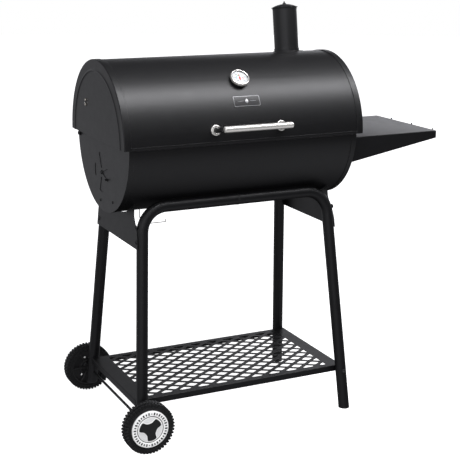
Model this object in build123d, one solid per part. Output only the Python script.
from build123d import *
import os
from math import sin, cos, tan, radians, degrees, atan2

# Barrel charcoal grill on two leaning leg frames, with a side table and two wheels.
# Millimetres, +Z up, +X to the side table, -Y is the front.
# Built about the barrel's mid-length, then moved so that the origin is on the floor
# under the centre of the whole object's plan outline.
os.makedirs("parts", exist_ok=True)

# ---- driving dimensions ------------------------------------------------------
AXIS_Z = 878.5                   # barrel axis height above the floor
PLAN_CENTRE = (147.1, -5.45)     # plan centre of the whole object
SHEET = 1.2                      # sheet of the lid, firebox, shelf, table and pipe
GAP = 0.1                        # gap between touching parts
FAR = 2000                       # beyond every part

LID_HALF = 381.0                 # half length of the lid
LID_R = 225.7
LID_EDGE_DZ = -1.8               # lid lower edge relative to the barrel axis
CAP_R, CAP_T, CAP_FLANGE = 227.5, 1.6, 21.0   # lid end caps
BOX_HALF = 363.5                 # half length of the firebox
BOX_R = 217.0
BOX_EDGE_Z = AXIS_Z - 2.4        # firebox upper edge
END_R, END_FLANGE = 218.3, 15.0  # firebox end plates
HINGE_Y, HINGE_Z = 203.0, AXIS_Z - 15.5

TUBE_R, TUBE_T = 17.2, 1.2       # leg tube
BEND_R = 75.0
LEG_X0, LEG_Y0 = 343.86, 226.67  # leg centre at floor level
LEG_LEAN_X, LEG_LEAN_Y = 43.8 / 700, 78.57 / 700   # inward lean per unit of height
TOP_TUBE_Z = AXIS_Z - 184.0
LEFT_CUT, RIGHT_CUT = 40.0, 0.0  # height of the leg feet; the left legs stop short
MOUNT_X = 200.0                  # bolts from the firebox to the top tubes
AXLE_Z, AXLE_R, AXLE_HALF = 76.8, 4.0, 278.0
SHELF_Z, SHELF_HALF_X, SHELF_HALF_Y = 132.0, 348.8, 194.3
SHELF_BOLT_Z = SHELF_Z - 8.0

TABLE_Z, TABLE_HALF_Y = 855.7, 172.9
TABLE_X0, TABLE_X1 = BOX_HALF + GAP, 688.6
TABLE_BOLTS = [(y, TABLE_Z - drop) for y in (-120, 120) for drop in (20, 52)]   # y, z

HANDLE_ANGLE, HANDLE_POST_X = 9.9, 104.0       # angles are above the front horizon
THERMO_ANGLE = 47.4
CHIMNEY_X, CHIMNEY_LEAN, CHIMNEY_R = 269.4, 8.28, 37.5
DRAIN_X, DRAIN_Z = -250.0, AXIS_Z - BOX_R
GRATE_Z = AXIS_Z - 36.0
TRAY_Z = AXIS_Z - 166.8
LUG_SCREWS = ((29.7, AXIS_Z - 190.0), (-74.9, AXIS_Z - 176.5))   # y, z on each end plate
RACK_LENGTH, RACK_REAR_Y, RACK_Z = 200.0, 96.1, AXIS_Z + 91.3
RACK_FRONT_Y = RACK_REAR_Y - RACK_LENGTH
RACK_HALF = 350.0

# Fasteners: shank radius, head radius, head height, nut height
FRAME_BOLT = (3.0, 6.0, 3.4, 4.6)
HINGE_BOLT = (3.0, 6.5, 5.0, 5.0)
VENT_BOLT = (3.0, 6.5, 3.6, 4.0)
HANDLE_SCREW = (2.5, 5.0, 3.0, None)
LUG_SCREW = (2.5, 4.2, 2.0, 3.2)
COLLAR_BOLT = (2.0, 4.0, 2.4, 3.2)
CAP_SCREW = (2.0, 3.8, 2.2, 2.6)
FRAME_HOLE, SMALL_HOLE = 3.1, 2.6   # hole radii

PARTS = {}


# ---- helpers -----------------------------------------------------------------
def add(name, *shapes):
    """File the solids of shapes, or of lists of shapes, under a part name."""
    for shape in shapes:
        for item in shape if isinstance(shape, (list, tuple)) else [shape]:
            PARTS.setdefault(name, []).extend(item.solids())


def mirror_all(shapes, plane):
    return [shape.mirror(plane) for shape in shapes]


def frame(point, direction):
    return Plane(origin=Vector(*point), z_dir=Vector(*direction))


def prism(face, height):
    return extrude(face, height, dir=(0, 0, 1))


def outline(points):
    return Polygon(*points, align=None)


def stub(radius, height, z=0):
    """Upright cylinder standing on height z."""
    return Pos(0, 0, z) * Cylinder(radius, height, align=(Align.CENTER, Align.CENTER, Align.MIN))


def rod(start, end, radius):
    start, end = Vector(*start), Vector(*end)
    axis = end - start
    return frame(start, axis) * stub(radius, axis.length)


def block(x0, x1, y0, y1, z0, z1):
    centre = Pos((x0 + x1) / 2, (y0 + y1) / 2, (z0 + z1) / 2)
    return centre * Box(abs(x1 - x0), abs(y1 - y0), abs(z1 - z0))


def disc_x(radius, x0, x1, y=0.0, z=AXIS_Z):
    return rod((x0, y, z), (x1, y, z), radius)


def ring_x(outer, inner, x0, x1):
    return disc_x(outer, x0, x1) - disc_x(inner, x0 - 1, x1 + 1)


def rounded_path(points, bend):
    points = [Vector(*point) for point in points]
    edges = []
    current = points[0]
    for before, corner, after in zip(points, points[1:], points[2:]):
        back, ahead = (before - corner).normalized(), (after - corner).normalized()
        half_angle = radians(back.get_angle(ahead)) / 2
        trim = bend / tan(half_angle)
        start, end = corner + back * trim, corner + ahead * trim
        bisector = (back + ahead).normalized()
        middle = corner + bisector * (bend / sin(half_angle)) - bisector * bend
        if (start - current).length > 1e-6:
            edges.append(Edge.make_line(current, start))
        edges.append(Edge.make_three_point_arc(start, middle, end))
        current = end
    edges.append(Edge.make_line(current, points[-1]))
    return Wire(edges)


def bent_rod(points, radius, bend):
    wire = rounded_path(points, bend)
    return sweep(Plane(origin=wire @ 0, z_dir=wire % 0) * Circle(radius), path=wire)


def hex_nut(corner_radius, height, bore):
    return prism(RegularPolygon(corner_radius, 6), height) - Cylinder(bore, height * 3)


def bolt(point, direction, size, length, nut_at=None):
    """Domed head outside point, shank along direction; nut_at is the nut's near face."""
    radius, head_radius, head_height, nut_height = size
    place = frame(point, direction)
    head = stub(head_radius, head_height, -head_height)
    head = fillet(head.edges().sort_by(Axis.Z)[0:1], head_height * 0.6)
    pieces = [place * (head + stub(radius, length))]
    if nut_at is not None:
        nut = hex_nut(radius * 1.9, nut_height, radius + 0.05)
        pieces.append(place * Pos(0, 0, nut_at) * nut)
    return pieces


def polar_point(angle, radius, x=0.0):
    """Point at an angle above the front horizon, at a radius from the barrel axis."""
    return (x, -radius * cos(radians(angle)), AXIS_Z + radius * sin(radians(angle)))


def polar_dir(angle):
    return (0, -cos(radians(angle)), sin(radians(angle)))


def lid_hole(angle, radius, x=0.0):
    return frame(polar_point(angle, LID_R, x), polar_dir(angle)) * Cylinder(radius, 20)


def leg_x(z):
    return LEG_X0 - LEG_LEAN_X * z


def leg_y(z):
    return LEG_Y0 - LEG_LEAN_Y * z


# ---- shared frames and places ------------------------------------------------
ABOVE_LID_EDGE = block(-FAR, FAR, -FAR, FAR, AXIS_Z + LID_EDGE_DZ, FAR)
BELOW_BOX_EDGE = block(-FAR, FAR, -FAR, FAR, -FAR, BOX_EDGE_Z)

CHIMNEY = Plane(origin=(CHIMNEY_X, 57.45, 1106.2), x_dir=(1, 0, 0),
                z_dir=(0, sin(radians(CHIMNEY_LEAN)), cos(radians(CHIMNEY_LEAN))))
CHIMNEY_ANGLE = degrees(atan2(218.9, -56.1))
COLLAR_REACH = 44.0              # collar bolts from the chimney centre, along the lid
COLLAR_SWING = degrees(COLLAR_REACH / LID_R)
COLLAR_BOLTS = [                 # angle, x
    (CHIMNEY_ANGLE, CHIMNEY_X - COLLAR_REACH),
    (CHIMNEY_ANGLE, CHIMNEY_X + COLLAR_REACH),
    (CHIMNEY_ANGLE - COLLAR_SWING, CHIMNEY_X),
    (CHIMNEY_ANGLE + COLLAR_SWING, CHIMNEY_X),
]
COLLAR_HOLE = 2.1
VENT = Plane(origin=(-BOX_HALF, 14.0, AXIS_Z - 103.7), x_dir=(0, -1, 0), z_dir=(-1, 0, 0))

TOP_TUBE_Y = leg_y(TOP_TUBE_Z)
TO_TUBE = Vector(0, -TOP_TUBE_Y, TOP_TUBE_Z - AXIS_Z)   # barrel axis to front top tube
TUBE_DISTANCE = TO_TUBE.length
TUBE_DIR = TO_TUBE.normalized()
AXLE_X = -leg_x(AXLE_Z)

# The side plates lie on the legs' outer sides, in the plane that leans with them.
PLATE_REF_Z = 700
LEAN_ANGLE = atan2(LEG_LEAN_X, 1)
PLATE_NORMAL = Vector(cos(LEAN_ANGLE), 0, sin(LEAN_ANGLE))
PLATE_OFFSET = TUBE_R + GAP
PLATE_BOLTS_Z = (641.0, 598.6)


# ---- lid ---------------------------------------------------------------------
def make_lid_shell():
    half = LID_HALF - CAP_T - GAP
    shell = ring_x(LID_R, LID_R - SHEET, -half, half) & ABOVE_LID_EDGE
    shell -= CHIMNEY * Cylinder(CHIMNEY_R + 0.2, 160)
    shell -= lid_hole(THERMO_ANGLE, 4.1)
    for side in (-1, 1):
        shell -= lid_hole(HANDLE_ANGLE, SMALL_HOLE, side * HANDLE_POST_X)
    for angle, x in COLLAR_BOLTS:
        shell -= lid_hole(angle, COLLAR_HOLE, x)
    add("lid_shell", shell)


def make_lid_ends():
    inner_x = LID_HALF - CAP_T
    cap = disc_x(CAP_R, inner_x, LID_HALF)
    cap += ring_x(CAP_R, LID_R + GAP, LID_HALF - CAP_FLANGE, inner_x + 0.5)
    bead = frame((LID_HALF - 1.0, 0, AXIS_Z), (1, 0, 0)) * Torus(195.5, 3.2)
    bead = bead & block(inner_x + 0.2, FAR, -FAR, FAR, -FAR, FAR)
    cap = (cap + bead) & ABOVE_LID_EDGE
    cap -= disc_x(2.58, inner_x - 5, LID_HALF + 5, RACK_REAR_Y, RACK_Z)
    add("lid_end_right", cap)
    add("lid_end_left", cap.mirror(Plane.YZ))


def make_hinges():
    half_width, thick = 8.0, 2.0
    ear_x0 = BOX_HALF + 0.4
    ear_x1 = ear_x0 + thick
    cap_x = LID_HALF - CAP_T - GAP
    y0, y1 = HINGE_Y - half_width, HINGE_Y + half_width
    foot_z = AXIS_Z + 2
    ear = disc_x(half_width, ear_x0, ear_x1, HINGE_Y, HINGE_Z)
    ear += block(ear_x0, ear_x1, y0, y1, HINGE_Z, foot_z + thick)
    shelf = block(ear_x0, cap_x, y0, y1, foot_z, foot_z + thick)
    upright = block(cap_x - thick, cap_x, y0, y1, foot_z, AXIS_Z + 30)
    bracket = ear + shelf + upright
    bracket -= disc_x(3.08, ear_x0 - 5, ear_x1 + 5, HINGE_Y, HINGE_Z)
    add("lid_hinge_brackets", bracket.mirror(Plane.YZ), bracket)
    for side in (-1, 1):
        point = (side * (BOX_HALF + 2.5), HINGE_Y, HINGE_Z)
        add("hinge_bolts", bolt(point, (-side, 0, 0), HINGE_BOLT, 14.0, nut_at=3.9))


def make_handle():
    distance = 290.4             # bar centre from the barrel axis
    radius, wall, half = 9.25, 1.6, 109.0
    post_radius = 8.0
    _, y, z = polar_point(HANDLE_ANGLE, distance)
    direction = polar_dir(HANDLE_ANGLE)
    outer = rod((-half, y, z), (half, y, z), radius)
    outer = fillet(outer.edges().filter_by(GeomType.CIRCLE), 4.0)
    handle = outer - rod((-half + 4, y, z), (half - 4, y, z), radius - wall)
    for side in (-1, 1):
        x = side * HANDLE_POST_X
        place = frame((x, 0, AXIS_Z), direction)
        post = place * stub(post_radius, distance - LID_R - 0.2, LID_R + 0.2)
        post -= rod((-200, y, z), (200, y, z), radius + 0.05)
        post -= place * stub(SMALL_HOLE, 100, LID_R - 5)
        # keep only the piece on the lid side of the bar
        add("handle_posts", post.solids().sort_by(Axis.Y)[-1])
        bezel = place * stub(15.5, 3.6, LID_R + 0.15)
        rim = bezel.edges().filter_by(GeomType.CIRCLE).sort_by(Axis.Y)[0:1]
        bezel = fillet(rim, 2.2)
        bezel -= place * Pos(0, 0, LID_R) * Cylinder(post_radius + GAP, 20)
        add("handle_bezels", bezel)
        handle -= place * stub(SMALL_HOLE, 20, distance - 20)
        head_at = polar_point(HANDLE_ANGLE, LID_R - SHEET - 0.15, x)
        add("handle_screws", bolt(head_at, direction, HANDLE_SCREW, distance - LID_R - 4))
    add("handle_bar", handle)


def make_thermometer():
    place = Plane(origin=polar_point(THERMO_ANGLE, LID_R), x_dir=(1, 0, 0),
                  z_dir=polar_dir(THERMO_ANGLE))
    housing_r, dial_r, thread_r = 26.0, 24.4, 4.0
    housing = stub(housing_r, 13.0, 1.0) - stub(24.6, 10, 8.6) - stub(thread_r + 0.05, 30)
    add("thermometer_housing", place * housing)
    bezel = stub(28.4, 8.4, 8.0)
    bezel = fillet(bezel.edges().sort_by(Axis.Z)[-1:], 2.6)
    bezel -= stub(housing_r + GAP, 8.2, 7)
    bezel -= stub(dial_r, 20, 7)
    add("thermometer_bezel", place * bezel)
    add("thermometer_dial", place * (stub(dial_r, 0.8, 10.4) - stub(1.3, 60)))
    pointer = outline([(-0.9, -7), (0.9, -7), (0.35, 20), (-0.35, 20)])
    needle = Pos(0, 0, 11.6) * prism(pointer, 0.6)
    needle += stub(2.6, 1.4, 11.5)
    needle += stub(1.2, 2.2, 10.0)
    add("thermometer_needle", place * needle)
    add("thermometer_lens", place * stub(dial_r - GAP, 1.2, 14.0))
    stem = stub(3.0, 52, -52) + stub(thread_r, 17.4, -8)
    nut = Pos(0, 0, -SHEET - 4.4) * hex_nut(9.0, 4, thread_r + 0.05)
    add("thermometer_stem", place * (stem + stub(6.0, 1.2, 8.65)), place * nut)


def make_badge():
    """Blank curved plate on the front of the lid."""
    right_x, width, reach = 46.5, 83, 400
    corners = [(reach * cos(radians(angle)), reach * sin(radians(angle)))
               for angle in (25.8, 33.7)]
    side_view = Plane(origin=(right_x, 0, AXIS_Z), x_dir=(0, -1, 0), z_dir=(-1, 0, 0))
    wedge = side_view * prism(outline([(0, 0)] + corners), width)
    add("badge_plate", ring_x(LID_R + 1.3, LID_R + GAP, -60, 60) & wedge)


# ---- chimney -----------------------------------------------------------------
def make_chimney():
    top, bottom = 127.0, -32.0   # along the pipe axis
    ear_y, ear_r = CHIMNEY_R + 6.2, 5
    screw_hole = 2.05

    def ear(inner_y, thick):
        strip = outline([(-ear_r, inner_y), (ear_r, inner_y), (ear_r, ear_y), (-ear_r, ear_y)])
        return prism(strip, thick), Pos(0, ear_y, 0) * stub(ear_r, thick)

    pipe = stub(CHIMNEY_R, top - bottom, bottom)
    pipe -= stub(CHIMNEY_R - SHEET, 300, bottom - 1)
    strip, tip = ear(CHIMNEY_R - 0.9, 2.0)
    pipe_ear = Pos(0, 0, top - 3.0) * (strip + tip)
    pipe = pipe + (pipe_ear - Cylinder(CHIMNEY_R - 0.6, 600))
    pipe -= Pos(0, ear_y, 0) * Cylinder(screw_hole, 600)
    add("chimney_pipe", CHIMNEY * pipe)

    collar = ring_x(LID_R + 1.3, LID_R + GAP, CHIMNEY_X - 70, CHIMNEY_X + 70)
    collar = collar & (CHIMNEY * Cylinder(51, 200))
    neck = CHIMNEY * stub(CHIMNEY_R + 1.5, 14, -12)
    collar += neck & block(-FAR, FAR, -FAR, FAR, AXIS_Z, FAR)
    collar -= CHIMNEY * Cylinder(CHIMNEY_R + GAP, 300)
    collar -= disc_x(LID_R + GAP, CHIMNEY_X - 90, CHIMNEY_X + 90)
    for angle, x in COLLAR_BOLTS:
        collar -= lid_hole(angle, COLLAR_HOLE, x)
        _, out_y, out_z = polar_dir(angle)
        head_at = polar_point(angle, LID_R + 1.5, x)
        add("chimney_bolts", bolt(head_at, (0, -out_y, -out_z), COLLAR_BOLT, 8.0, nut_at=3.0))
    add("chimney_collar", collar)

    # the cap is a spherical dome with an ear
    cap_r, rise = 40.2, 10.5
    sphere_r = (cap_r * cap_r + rise * rise) / (2 * rise)
    centre = Pos(0, 0, rise - sphere_r)
    dome = (centre * Sphere(sphere_r) - centre * Sphere(sphere_r - 1.2)) & Cylinder(cap_r, 60)
    dome = dome & stub(80, 20, -2.0)
    strip, tip = ear(cap_r - 4.0, 1.0)
    cap_ear = strip + tip
    cap_ear -= centre * Sphere(sphere_r - 0.3)
    cap = Pos(0, 0, top + 1.4) * (dome.solids().sort_by(Axis.Z)[-1] + Pos(0, 0, -0.9) * cap_ear)
    cap -= Pos(0, ear_y, 0) * Cylinder(screw_hole, 600)
    cap -= stub(screw_hole, 30, top)
    add("chimney_cap", CHIMNEY * cap)

    align = (Align.CENTER, Align.CENTER, Align.MIN)
    knob = Pos(0, 0, top + 12.1) * Cone(6.2, 1.9, 6.0, align=align)
    knob += Pos(0, 0, top + 18.1) * Cone(1.9, 0.7, 2.6, align=align)
    knob += stub(2.0, 6, top + 8.0)
    add("chimney_cap_knob", CHIMNEY * knob)
    screw = bolt((0, ear_y, top + 1.7), (0, 0, -1), CAP_SCREW, 8.0, nut_at=4.8)
    add("chimney_cap_screw", [CHIMNEY * piece for piece in screw])


# ---- firebox -----------------------------------------------------------------
def make_firebox_shell():
    half = BOX_HALF - SHEET - GAP
    shell = ring_x(BOX_R, BOX_R - SHEET, -half, half) & BELOW_BOX_EDGE
    lip = BOX_HALF - END_FLANGE - 0.4   # front lip, between the end flanges
    shell += block(-lip, lip, -224.0, -(BOX_R - SHEET) - 0.01, BOX_EDGE_Z - 1.2, BOX_EDGE_Z)
    for side in (-1, 1):
        for toward in (1, -1):
            outward = Vector(0, TUBE_DIR.Y * toward, TUBE_DIR.Z)
            point = Vector(side * MOUNT_X, 0, AXIS_Z) + outward * BOX_R
            shell -= frame(point, outward) * Cylinder(FRAME_HOLE, 20)
    shell -= Pos(DRAIN_X, 0, DRAIN_Z) * Cylinder(4.0, 30)
    add("firebox_shell", shell)


def arc_points(radius, start, stop, steps):
    angles = [radians(start + (stop - start) * i / steps) for i in range(steps + 1)]
    return [(radius * cos(angle), radius * sin(angle)) for angle in angles]


def vent_opening(middle, inner, outer):
    start, stop = middle - 20, middle + 20
    return outline(arc_points(outer, start, stop, 10) + arc_points(inner, stop, start, 4))


def firebox_end():
    """Right end plate, with the holes that both ends share."""
    x0, x1 = BOX_HALF - SHEET, BOX_HALF
    plate = disc_x(END_R, x0, x1)
    plate += ring_x(END_R, BOX_R + 0.05, BOX_HALF - END_FLANGE, x0 + 0.3)
    plate = plate & BELOW_BOX_EDGE
    plate -= disc_x(FRAME_HOLE, x0 - 3, x1 + 3, HINGE_Y, HINGE_Z)
    for y, z in LUG_SCREWS:
        plate -= disc_x(SMALL_HOLE, x0 - 3, x1 + 3, y, z)
    return plate


def make_firebox_ends():
    left = firebox_end().mirror(Plane.YZ)
    for angle in (0, 90, 180, 270):
        left -= VENT * Pos(0, 0, -5) * prism(vent_opening(angle, 14, 59), 10)
    left -= VENT * Cylinder(FRAME_HOLE, 20)
    add("firebox_end_left", left)
    right = firebox_end()
    for y, z in TABLE_BOLTS:
        right -= disc_x(FRAME_HOLE, BOX_HALF - SHEET - 3, BOX_HALF + 3, y, z)
    add("firebox_end_right", right)


def make_vent_damper():
    tab_angle, tab_radius = -16.5, 50
    damper = stub(61.5, 1.0)
    for angle in (45, 135, 225, 315):
        damper -= Pos(0, 0, -1) * prism(vent_opening(angle, 15, 58), 5)
    damper -= Cylinder(3.08, 20)
    x, y = tab_radius * cos(radians(tab_angle)), tab_radius * sin(radians(tab_angle))
    tab = Box(10, 1.4, 9.0, align=(Align.CENTER, Align.CENTER, Align.MIN))
    damper += Pos(x, y, 0.5) * (Rot(0, 0, tab_angle) * tab)
    add("vent_damper", VENT * Pos(0, 0, -SHEET - 1.1) * damper)
    pivot = bolt((0, 0, 0.1), (0, 0, -1), VENT_BOLT, 10.0, nut_at=2.5)
    add("vent_pivot_bolt", [VENT * piece for piece in pivot])


def make_grates():
    half, wall_y = 350, 210.0
    for side in (-1, 1):
        ledge = block(-half, half, side * 197.0, side * wall_y, GRATE_Z - 1.0, GRATE_Z)
        web = block(-half, half, side * 209.0, side * wall_y, GRATE_Z - 12.0, GRATE_Z)
        add("grate_rails", ledge + web)
    z, bars, inset = GRATE_Z + 3.1, 19, 5
    for name, x0, x1 in (("left", -half, -3), ("right", 3, half)):
        rods = [rod((x0, y, z), (x1, y, z), 3.0) for y in (-203, 0, 203)]
        for i in range(bars):
            x = x0 + inset + (x1 - x0 - 2 * inset) * i / (bars - 1)
            rods.append(rod((x, -207, z + 4.4), (x, 207, z + 4.4), 2.0))
        add("cooking_grate_" + name, rods[0].fuse(*rods[1:]))


def make_charcoal_tray():
    half_x, half_y, height = 340.0, 127.0, 22.0
    pitch_x, pitch_y = 48, 44
    tray = block(-half_x, half_x, -half_y, half_y, TRAY_Z, TRAY_Z + height)
    tray -= block(-half_x + 1, half_x - 1, -half_y + 1, half_y - 1,
                  TRAY_Z + 1, TRAY_Z + height + 5)
    slots = []
    for column in range(-6, 7):
        for row in range(-2, 3):
            x, y = column * pitch_x, row * pitch_y
            slots.append(block(x - 17, x + 17, y - 4, y + 4, TRAY_Z - 3, TRAY_Z + 4))
    tray = tray - slots
    add("charcoal_tray", tray)

    end_x, thick = BOX_HALF - SHEET - GAP, 1.5
    top = TRAY_Z - GAP
    for side in (-1, 1):
        for y, z in LUG_SCREWS:
            lug = block(side * (end_x - thick), side * end_x, y - 12, y + 12, z - 8, top)
            lug += block(side * 330.0, side * end_x, y - 12, y + 12, top - thick, top)
            lug -= disc_x(SMALL_HOLE, side * 330, side * 380, y, z)
            add("tray_lugs", lug)
            head_at = (side * (BOX_HALF + GAP), y, z)
            add("tray_lug_screws", bolt(head_at, (-side, 0, 0), LUG_SCREW, 8.0, nut_at=3.1))


def make_warming_rack():
    """Rack that swings with the lid on a parallel linkage."""
    front, rear, half, z = RACK_FRONT_Y, RACK_REAR_Y, RACK_HALF, RACK_Z
    rods = [rod((-382.5, rear, z), (382.5, rear, z), 2.5),
            rod((-half - 9, front, z), (half + 9, front, z), 2.5)]
    for x in (-half, half):
        rods.append(rod((x, front - 1, z), (x, rear + 1, z), 2.2))
    for i in range(1, 12):
        y = front + RACK_LENGTH * i / 12
        rods.append(rod((-half - 1, y, z), (half + 1, y, z), 1.5))
    for x in (-175, 0, 175):
        rods.append(rod((x, front - 0.8, z - 2.6), (x, rear + 0.8, z - 2.6), 2.0))
    add("warming_rack", rods[0].fuse(*rods[1:]))


def make_rack_links():
    # the link foot is the hinge axis moved forward by the rack length
    foot_y, foot_z = HINGE_Y - RACK_LENGTH, HINGE_Z
    y0, y1, low_z = foot_y - 7, foot_y + 7, foot_z - 7
    near_x, end_x, thick = RACK_HALF + 8.4, BOX_HALF - SHEET - GAP, 1.5
    for side in (-1, 1):
        x = side * (RACK_HALF + 5.5)
        link = rod((x, foot_y, foot_z), (x, RACK_FRONT_Y, RACK_Z), 2.2)
        link += disc_x(5.2, x - 2.5, x + 2.5, RACK_FRONT_Y, RACK_Z)
        link -= disc_x(2.8, x - 9, x + 9, RACK_FRONT_Y, RACK_Z)
        link += disc_x(2.4, x - side * 1.4, x + side * 5.5, foot_y, foot_z)
        add("rack_links", link)
        bracket = block(side * near_x, side * (near_x + thick), y0, y1, low_z, foot_z + 7)
        bracket += block(side * near_x, side * end_x, y0, y1, low_z - 1.4, low_z)
        bracket += block(side * (end_x - thick), side * end_x, y0, y1, foot_z - 20, low_z)
        bracket -= disc_x(2.48, x - 20, x + 20, foot_y, foot_z)
        add("rack_link_brackets", bracket)


def make_grease_hook():
    """Hanger wire for a grease can, through the drain hole."""
    inside_z, low_z = DRAIN_Z + 4.5, DRAIN_Z - 53
    points = [(DRAIN_X + 10, 0, inside_z), (DRAIN_X - 2.2, 0, inside_z),
              (DRAIN_X - 2.2, 0, DRAIN_Z - 30), (DRAIN_X + 6, 0, low_z),
              (-168, 0, low_z), (-168, 0, DRAIN_Z - 44)]
    add("grease_can_hook", bent_rod(points, 1.25, 2.2))


# ---- leg frames --------------------------------------------------------------
def top_tube_piece(x0, x1, radius):
    return rod((x0, -TOP_TUBE_Y, TOP_TUBE_Z), (x1, -TOP_TUBE_Y, TOP_TUBE_Z), radius)


def plate_bolt_point(toward, z):
    """Point on the right side plate's inner face over a leg; toward is -1 front, +1 rear."""
    return Vector(leg_x(z), toward * leg_y(z), z) + PLATE_NORMAL * PLATE_OFFSET


def front_leg(side, cut):
    """Front leg with its half of the top tube; side is -1 left, +1 right."""
    start_z = -20
    foot = (side * leg_x(start_z), -leg_y(start_z), start_z)
    shoulder = (side * leg_x(TOP_TUBE_Z), -TOP_TUBE_Y, TOP_TUBE_Z)
    bore = TUBE_R - TUBE_T
    outer = bent_rod([foot, shoulder, (0, -TOP_TUBE_Y, TOP_TUBE_Z)], TUBE_R, BEND_R)
    inner = bent_rod([foot, shoulder, (-side, -TOP_TUBE_Y, TOP_TUBE_Z)], bore, BEND_R)
    leg = outer - inner
    leg -= block(-FAR, FAR, -FAR, FAR, -FAR, cut + 4.2)
    if side < 0:
        # spigot that slides into the right half, and the neck that carries it
        spigot_bore = TUBE_R - 2 * TUBE_T - 0.1
        spigot = top_tube_piece(-2, 42, bore - 0.1) - top_tube_piece(-9, 50, spigot_bore)
        neck = top_tube_piece(-6, -0.1, TUBE_R - 0.01) - top_tube_piece(-9, 9, spigot_bore)
        leg = leg + neck + spigot
    for z in PLATE_BOLTS_Z:
        hole = frame(plate_bolt_point(-1, z), PLATE_NORMAL) * Cylinder(FRAME_HOLE, 28)
        leg -= hole if side > 0 else hole.mirror(Plane.YZ)
    mount = Vector(side * MOUNT_X, 0, AXIS_Z) + TUBE_DIR * (TUBE_DISTANCE - TUBE_R)
    leg -= frame(mount, TUBE_DIR) * Cylinder(FRAME_HOLE, 16)
    x = side * leg_x(SHELF_BOLT_Z)
    leg -= rod((x, -300, SHELF_BOLT_Z), (x, -100, SHELF_BOLT_Z), FRAME_HOLE)
    if side < 0:
        leg -= rod((AXLE_X, -320, AXLE_Z), (AXLE_X, -100, AXLE_Z), AXLE_R + 0.08)
    return leg


def leg_plug(side, cut):
    """Front leg's end plug, flat at the foot."""
    along = Vector(-side * LEG_LEAN_X, LEG_LEAN_Y, 1).normalized()
    base = Vector(side * leg_x(cut), -leg_y(cut), cut)
    start = base - along * 15
    foot = rod(start, base + along * 20, TUBE_R)
    foot = foot & block(-FAR, FAR, -FAR, FAR, -FAR, cut + 4.1)
    plug = rod(start, base + along * 26, TUBE_R - TUBE_T - 0.1) + foot
    plug -= block(-FAR, FAR, -FAR, FAR, -FAR, cut)
    return plug


def make_legs():
    for name, side, cut in (("left", -1, LEFT_CUT), ("right", 1, RIGHT_CUT)):
        leg = front_leg(side, cut)
        add("leg_front_" + name, leg)
        add("leg_rear_" + name, leg.mirror(Plane.XZ))
        plug = leg_plug(side, cut)
        add("leg_plugs", plug, plug.mirror(Plane.XZ))


def make_side_plates():
    # Outline: y, then the height whose place on the leaning plate is used
    points = [
        (-leg_y(578) - 9, 578), (leg_y(578) + 12, 578), (leg_y(650) + 13, 650),
        (leg_y(655) + 6, 657), (143, 662), (138, 668), (140, 712), (-129, 712),
        (-133, 668), (-141, 655), (-leg_y(634), 636), (-leg_y(608) - 8, 608),
    ]
    origin = Vector(leg_x(PLATE_REF_Z), 0, PLATE_REF_Z) + PLATE_NORMAL * PLATE_OFFSET
    plane = Plane(origin=origin, x_dir=(0, 1, 0), z_dir=PLATE_NORMAL)
    flat = [(y, (z - PLATE_REF_Z) / cos(LEAN_ANGLE)) for y, z in points]
    plate = extrude(plane * outline(flat), 1.5)
    plate -= disc_x(END_R + 0.3, 0, 700)
    # shank length and nut distance for each row
    for z, (length, nut_at) in zip(PLATE_BOLTS_Z, ((19.0, 11.2), (12.0, 4.4))):
        for toward in (-1, 1):
            point = plate_bolt_point(toward, z)
            plate -= frame(point, PLATE_NORMAL) * Cylinder(FRAME_HOLE, 28)
            head_at = point + PLATE_NORMAL * 1.6
            pieces = bolt(head_at, PLATE_NORMAL * -1, FRAME_BOLT, length, nut_at)
            add("side_plate_bolts", pieces, mirror_all(pieces, Plane.YZ))
    add("side_plate_right", plate)
    add("side_plate_left", plate.mirror(Plane.YZ))


def make_frame_bolts():
    """Bolts from the firebox to the top tubes, and from the legs to the shelf."""
    inside = BOX_R - SHEET - GAP
    mount_nut = TUBE_DISTANCE - TUBE_R + 2.5 - inside
    shelf_y = leg_y(SHELF_BOLT_Z) + TUBE_R / cos(atan2(LEG_LEAN_Y, 1)) + 0.8
    shelf_nut = shelf_y - SHELF_HALF_Y + 1.3
    for side in (-1, 1):
        head_at = Vector(side * MOUNT_X, 0, AXIS_Z) + TUBE_DIR * inside
        pieces = bolt(head_at, TUBE_DIR, FRAME_BOLT, 13.0, mount_nut)
        add("firebox_mount_bolts", pieces, mirror_all(pieces, Plane.XZ))
        head_at = (side * leg_x(SHELF_BOLT_Z), -shelf_y, SHELF_BOLT_Z)
        pieces = bolt(head_at, (0, 1, 0), FRAME_BOLT, 44.5, shelf_nut)
        add("shelf_bolts", pieces, mirror_all(pieces, Plane.XZ))


# ---- bottom shelf ------------------------------------------------------------
def shelf_hole(row, column, last_row, last_column):
    """Six-sided hole, cut short in the outermost rows and halved in the end columns."""
    half_x, half_y, short_y = 20.6, 12.4, 5.0
    tip_x, tip_y = half_x * 0.1, half_y * 0.96
    points = [(-half_x, 0), (-tip_x, tip_y), (tip_x, tip_y),
              (half_x, 0), (tip_x, -tip_y), (-tip_x, -tip_y)]
    if abs(row) == last_row:
        out = 1 if row > 0 else -1
        short_x = half_x * (1 - short_y / half_y)
        points = [(-half_x, 0), (-short_x, out * short_y), (short_x, out * short_y),
                  (half_x, 0), (tip_x, -out * tip_y), (-tip_x, -out * tip_y)]
    if column == 0:
        points = [(max(x, 0.0), y) for x, y in points]
    if column == last_column:
        points = [(min(x, 0.0), y) for x, y in points]
    return outline(points)


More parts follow.
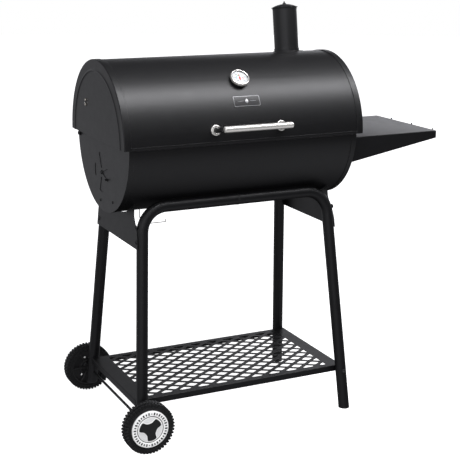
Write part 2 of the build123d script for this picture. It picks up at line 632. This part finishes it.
def make_bottom_shelf():
    flange, rear_flange = 18.6, 22.0
    half_x, half_y = SHELF_HALF_X, SHELF_HALF_Y
    low_z = SHELF_Z - flange
    shelf = block(-half_x, half_x, -half_y, half_y, low_z, SHELF_Z)
    top_edges = shelf.edges().filter_by(Axis.X).group_by(Axis.Z)[-1]
    top_edges += shelf.edges().filter_by(Axis.Y).group_by(Axis.Z)[-1]
    shelf = fillet(top_edges, 2.0)
    inner_x, inner_y = half_x - SHEET, half_y - SHEET
    shelf -= block(-inner_x, inner_x, -inner_y, inner_y, low_z - 5, SHELF_Z - SHEET)
    shelf += block(-inner_x + 0.3, inner_x - 0.3, inner_y, half_y,
                   SHELF_Z - rear_flange, low_z + 1)
    pitch_x, pitch_y = 30.15, 21.0
    shift_x = 3.0                # the pattern sits a little toward the table end
    last_row, last_column = 8, 20
    cuts = []
    for row in range(-last_row, last_row + 1):
        for column in range(last_column + 1):
            if (column + row) % 2:
                continue
            x = (column - last_column // 2) * pitch_x + shift_x
            hole = shelf_hole(row, column, last_row, last_column)
            cuts.append(prism(Pos(x, row * pitch_y, SHELF_Z - 6) * hole, 12))
    shelf = shelf - cuts
    for side in (-1, 1):
        x = side * leg_x(SHELF_BOLT_Z)
        shelf -= rod((x, -300, SHELF_BOLT_Z), (x, 300, SHELF_BOLT_Z), FRAME_HOLE)
    add("bottom_shelf", shelf)


# ---- axle and wheels ---------------------------------------------------------
def make_wheel(name, side):
    """Wheel at the front (side -1) or rear (+1); local +Z points outward."""
    radius, width, inner_y = AXLE_Z, 281.9 - 250.8, 250.8
    place = Plane(origin=(AXLE_X, side * inner_y, AXLE_Z), x_dir=(1, 0, 0), z_dir=(0, side, 0))
    tyre = stub(radius, width)
    tyre = fillet(tyre.edges().filter_by(GeomType.CIRCLE), 5.0)
    tyre -= stub(58.0, width + 2, -1)
    add("tyre_" + name, place * tyre)
    # rim, web, boss and spokes
    hub = Pos(0, 0, 3) * (stub(57.9, width - 7) - stub(53.5, width, -1))
    hub += stub(54.5, 3.0, width / 2 - 1)
    hub += stub(12.5, 13.2 + 20.5, -13.2)
    spoke = Box(44, 3.0, width / 2 - 4, align=(Align.CENTER, Align.CENTER, Align.MIN))
    for i in range(6):
        hub += Rot(0, 0, 60 * i) * Pos(33, 0, 4.0) * spoke
    hub -= stub(AXLE_R + 0.08, 200, -50)
    add("wheel_hub_" + name, place * hub)
    cap = stub(56.6, 6.4, width - 3.9)
    cap = fillet(cap.edges().sort_by(Axis.Z)[-1:], 1.5)
    cap -= stub(55.0, 7.0, width - 6)
    add("hub_cap_" + name, place * cap)
    nut_place = frame((AXLE_X, side * (inner_y + 20.7), AXLE_Z), (0, side, 0))
    add("axle_nuts", nut_place * hex_nut(7.6, 5.2, AXLE_R + 0.05))


def make_axle():
    add("axle", rod((AXLE_X, -AXLE_HALF, AXLE_Z), (AXLE_X, AXLE_HALF, AXLE_Z), AXLE_R))


# ---- side table --------------------------------------------------------------
def table_wedge(x0, x1, half_y, depth0, depth1, top):
    side_view = Plane(origin=(0, half_y, 0), x_dir=(1, 0, 0), z_dir=(0, -1, 0))
    points = [(x0, top), (x1, top), (x1, top - depth1), (x0, top - depth0)]
    return side_view * prism(outline(points), 2 * half_y)


def make_side_table():
    lid_depth, end_depth = 76.8, 22.9   # flange depth at the lid's end and at the far end
    slope = (lid_depth - end_depth) / (TABLE_X1 - LID_HALF)
    box_depth = lid_depth + slope * (LID_HALF - TABLE_X0)
    table = table_wedge(TABLE_X0, TABLE_X1, TABLE_HALF_Y, box_depth, end_depth, TABLE_Z)
    table = fillet(table.edges().filter_by(Axis.X).group_by(Axis.Z)[-1], 2.0)
    table -= table_wedge(TABLE_X0 + SHEET, TABLE_X1 - SHEET, TABLE_HALF_Y - SHEET,
                         box_depth + 40, end_depth + 40, TABLE_Z - SHEET)
    for y, z in TABLE_BOLTS:
        table -= disc_x(FRAME_HOLE, TABLE_X0 - 5, TABLE_X0 + 5, y, z)
        head_at = (TABLE_X0 + SHEET + GAP, y, z)
        add("table_bolts", bolt(head_at, (-1, 0, 0), FRAME_BOLT, 12.0, nut_at=2.9))
    z = TABLE_Z - 15
    inside_x, outside_x = TABLE_X1 - 12, TABLE_X1 + 19.5
    for y in (-124.0, -6.0, 113.0):
        table -= disc_x(2.3, TABLE_X1 - 5, TABLE_X1 + 5, y, z)
        points = [(inside_x, y, z - 8), (inside_x, y, z),
                  (outside_x, y, z), (outside_x, y, TABLE_Z - 1.5)]
        add("tool_hooks", bent_rod(points, 2.2, 4.0))
    add("side_table", table)


# ---- build and write ---------------------------------------------------------
make_lid_shell()
make_lid_ends()
make_hinges()
make_handle()
make_thermometer()
make_badge()
make_chimney()
make_firebox_shell()
make_firebox_ends()
make_vent_damper()
make_grates()
make_charcoal_tray()
make_warming_rack()
make_rack_links()
make_grease_hook()
make_legs()
make_side_plates()
make_frame_bolts()
make_bottom_shelf()
make_axle()
make_wheel("front", -1)
make_wheel("rear", 1)
make_side_table()

shift = Pos(-PLAN_CENTRE[0], -PLAN_CENTRE[1], 0)
for name, solids in PARTS.items():
    moved = [shift * solid for solid in solids]
    shape = Compound(children=moved) if len(moved) > 1 else moved[0]
    export_step(shape, f"parts/{name}.step")
